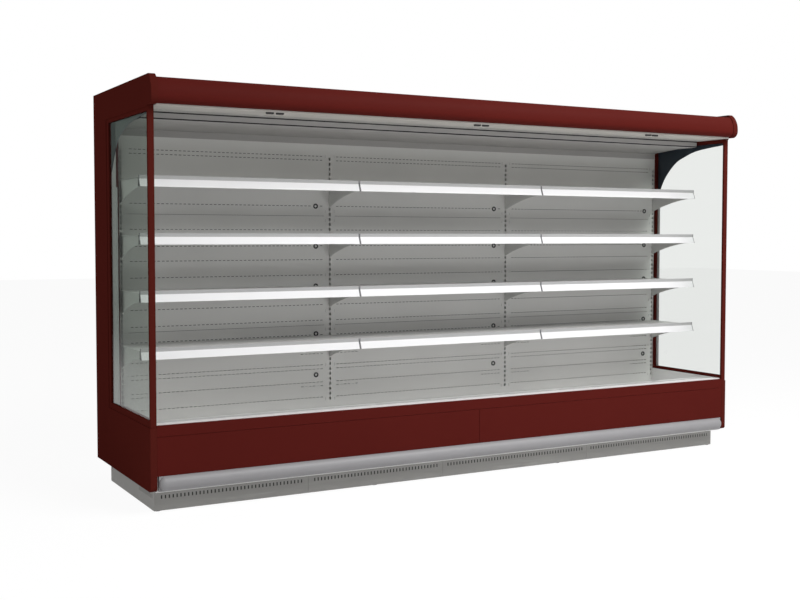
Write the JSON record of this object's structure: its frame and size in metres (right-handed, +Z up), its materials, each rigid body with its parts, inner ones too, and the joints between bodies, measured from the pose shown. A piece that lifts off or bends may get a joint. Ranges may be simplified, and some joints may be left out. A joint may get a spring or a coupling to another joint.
{
  "type": "open multideck display fridge",
  "caption": "Open-front refrigerated wall cabinet with bays of shelves, glass-sided end panels, a bulged canopy, roller night blinds and a slotted plinth.",
  "frame": {"origin": "on the floor at the middle of the bounding box", "axes": "+X along the cabinet to the shopper's right, -Y towards the shopper, +Z up"},
  "size_m": [3.818, 1.14, 2.166],
  "materials": {
    "red_paint": "gloss",
    "red_end": "satin",
    "grey_paint": "satin",
    "grey_liner": "satin",
    "white_liner": "satin",
    "white_paint": "satin",
    "grey_plinth": "satin",
    "grey_bumper": "satin",
    "white_strip": "gloss",
    "black_plastic": "matte",
    "comb_plastic": "matte",
    "bar_plastic": "satin",
    "lamp": "gloss",
    "clear_glass": "gloss",
    "galvanised_steel": "satin",
    "coil_metal": "satin",
    "blind_cloth": "matte"
  },
  "bodies": {
    "cabinet": {"base_frame": "galvanised_steel", "levelling_feet": "black_plastic", "plinth_plates": "grey_plinth", "insulated_tank": "grey_liner", "insulated_back_wall": "white_liner", "insulated_roof": "white_liner", "front_panels": "red_paint", "front_top_rail": "red_paint", "bumper_rail": "grey_bumper", "canopy_fascia": "red_paint", "canopy_soffit": "white_paint", "lamp_tubes": "lamp", "air_outlet_honeycomb": "comb_plastic", "air_duct_ceiling": "grey_paint", "end_panel_left": "red_end", "end_panel_right": "red_end", "end_glass_panes": "clear_glass", "shelf_uprights": "grey_paint", "back_panels": "grey_paint", "panel_fixings": "black_plastic", "shelf_brackets": "grey_paint", "blind_brackets": "galvanised_steel", "fan_plate": "galvanised_steel", "evaporator_coil": "coil_metal"},
    "shelf_left_1": {"shelf_left_1": "grey_paint", "ticket_strip_left_1": "white_strip"},
    "shelf_left_2": {"shelf_left_2": "grey_paint", "ticket_strip_left_2": "white_strip"},
    "shelf_left_3": {"shelf_left_3": "grey_paint", "ticket_strip_left_3": "white_strip"},
    "shelf_left_4": {"shelf_left_4": "grey_paint", "ticket_strip_left_4": "white_strip"},
    "deck_tray_left": {"deck_tray_left": "grey_paint"},
    "fan_rotor_left": {"fan_rotor_left": "black_plastic"},
    "blind_bar_left": {"blind_bar_left": "bar_plastic"},
    "blind_roller_left": {"blind_roller_left": "blind_cloth"},
    "shelf_middle_1": {"shelf_middle_1": "grey_paint", "ticket_strip_middle_1": "white_strip"},
    "shelf_middle_2": {"shelf_middle_2": "grey_paint", "ticket_strip_middle_2": "white_strip"},
    "shelf_middle_3": {"shelf_middle_3": "grey_paint", "ticket_strip_middle_3": "white_strip"},
    "shelf_middle_4": {"shelf_middle_4": "grey_paint", "ticket_strip_middle_4": "white_strip"},
    "deck_tray_middle": {"deck_tray_middle": "grey_paint"},
    "fan_rotor_middle": {"fan_rotor_middle": "black_plastic"},
    "blind_bar_middle": {"blind_bar_middle": "bar_plastic"},
    "blind_roller_middle": {"blind_roller_middle": "blind_cloth"},
    "shelf_right_1": {"shelf_right_1": "grey_paint", "ticket_strip_right_1": "white_strip"},
    "shelf_right_2": {"shelf_right_2": "grey_paint", "ticket_strip_right_2": "white_strip"},
    "shelf_right_3": {"shelf_right_3": "grey_paint", "ticket_strip_right_3": "white_strip"},
    "shelf_right_4": {"shelf_right_4": "grey_paint", "ticket_strip_right_4": "white_strip"},
    "deck_tray_right": {"deck_tray_right": "grey_paint"},
    "fan_rotor_right": {"fan_rotor_right": "black_plastic"},
    "blind_bar_right": {"blind_bar_right": "bar_plastic"},
    "blind_roller_right": {"blind_roller_right": "blind_cloth"}
  },
  "joints": [
    {"name": "shelf_left_1_lift", "type": "slide", "parent": "cabinet", "child": "shelf_left_1", "axis": [0, 0, 1], "range_m": [0, 0.15]},
    {"name": "shelf_left_2_lift", "type": "slide", "parent": "cabinet", "child": "shelf_left_2", "axis": [0, 0, 1], "range_m": [0, 0.15]},
    {"name": "shelf_left_3_lift", "type": "slide", "parent": "cabinet", "child": "shelf_left_3", "axis": [0, 0, 1], "range_m": [0, 0.15]},
    {"name": "shelf_left_4_lift", "type": "slide", "parent": "cabinet", "child": "shelf_left_4", "axis": [0, 0, 1], "range_m": [0, 0.15]},
    {"name": "deck_tray_left_lift", "type": "slide", "parent": "cabinet", "child": "deck_tray_left", "axis": [0, 0, 1], "range_m": [0, 0.12]},
    {"name": "fan_left_spin", "type": "hinge", "parent": "cabinet", "child": "fan_rotor_left", "pos_m": [-1.25, -0.157, 0.2635], "axis": [0, 1, 0], "continuous": true},
    {"name": "blind_left_pull", "type": "slide", "parent": "cabinet", "child": "blind_bar_left", "axis": [0, 0.035, -0.9994], "range_m": [0, 1.54], "stiffness_N_per_m": 6, "springref_m": -2.5},
    {"name": "blind_left_roll", "type": "hinge", "parent": "cabinet", "child": "blind_roller_left", "pos_m": [-1.25, -0.474, 2.057], "axis": [1, 0, 0], "range_deg": [0, 3700]},
    {"name": "shelf_middle_1_lift", "type": "slide", "parent": "cabinet", "child": "shelf_middle_1", "axis": [0, 0, 1], "range_m": [0, 0.15]},
    {"name": "shelf_middle_2_lift", "type": "slide", "parent": "cabinet", "child": "shelf_middle_2", "axis": [0, 0, 1], "range_m": [0, 0.15]},
    {"name": "shelf_middle_3_lift", "type": "slide", "parent": "cabinet", "child": "shelf_middle_3", "axis": [0, 0, 1], "range_m": [0, 0.15]},
    {"name": "shelf_middle_4_lift", "type": "slide", "parent": "cabinet", "child": "shelf_middle_4", "axis": [0, 0, 1], "range_m": [0, 0.15]},
    {"name": "deck_tray_middle_lift", "type": "slide", "parent": "cabinet", "child": "deck_tray_middle", "axis": [0, 0, 1], "range_m": [0, 0.12]},
    {"name": "fan_middle_spin", "type": "hinge", "parent": "cabinet", "child": "fan_rotor_middle", "pos_m": [0, -0.157, 0.2635], "axis": [0, 1, 0], "continuous": true},
    {"name": "blind_middle_pull", "type": "slide", "parent": "cabinet", "child": "blind_bar_middle", "axis": [0, 0.035, -0.9994], "range_m": [0, 1.54], "stiffness_N_per_m": 6, "springref_m": -2.5},
    {"name": "blind_middle_roll", "type": "hinge", "parent": "cabinet", "child": "blind_roller_middle", "pos_m": [0, -0.474, 2.057], "axis": [1, 0, 0], "range_deg": [0, 3700]},
    {"name": "shelf_right_1_lift", "type": "slide", "parent": "cabinet", "child": "shelf_right_1", "axis": [0, 0, 1], "range_m": [0, 0.15]},
    {"name": "shelf_right_2_lift", "type": "slide", "parent": "cabinet", "child": "shelf_right_2", "axis": [0, 0, 1], "range_m": [0, 0.15]},
    {"name": "shelf_right_3_lift", "type": "slide", "parent": "cabinet", "child": "shelf_right_3", "axis": [0, 0, 1], "range_m": [0, 0.15]},
    {"name": "shelf_right_4_lift", "type": "slide", "parent": "cabinet", "child": "shelf_right_4", "axis": [0, 0, 1], "range_m": [0, 0.15]},
    {"name": "deck_tray_right_lift", "type": "slide", "parent": "cabinet", "child": "deck_tray_right", "axis": [0, 0, 1], "range_m": [0, 0.12]},
    {"name": "fan_right_spin", "type": "hinge", "parent": "cabinet", "child": "fan_rotor_right", "pos_m": [1.25, -0.157, 0.2635], "axis": [0, 1, 0], "continuous": true},
    {"name": "blind_right_pull", "type": "slide", "parent": "cabinet", "child": "blind_bar_right", "axis": [0, 0.035, -0.9994], "range_m": [0, 1.54], "stiffness_N_per_m": 6, "springref_m": -2.5},
    {"name": "blind_right_roll", "type": "hinge", "parent": "cabinet", "child": "blind_roller_right", "pos_m": [1.25, -0.474, 2.057], "axis": [1, 0, 0], "range_deg": [0, 3700]}
  ],
  "couplings": [
    {"joint": "blind_left_roll", "follows": "blind_left_pull", "rad_per_m": 41.667},
    {"joint": "blind_middle_roll", "follows": "blind_middle_pull", "rad_per_m": 41.667},
    {"joint": "blind_right_roll", "follows": "blind_right_pull", "rad_per_m": 41.667}
  ]
}
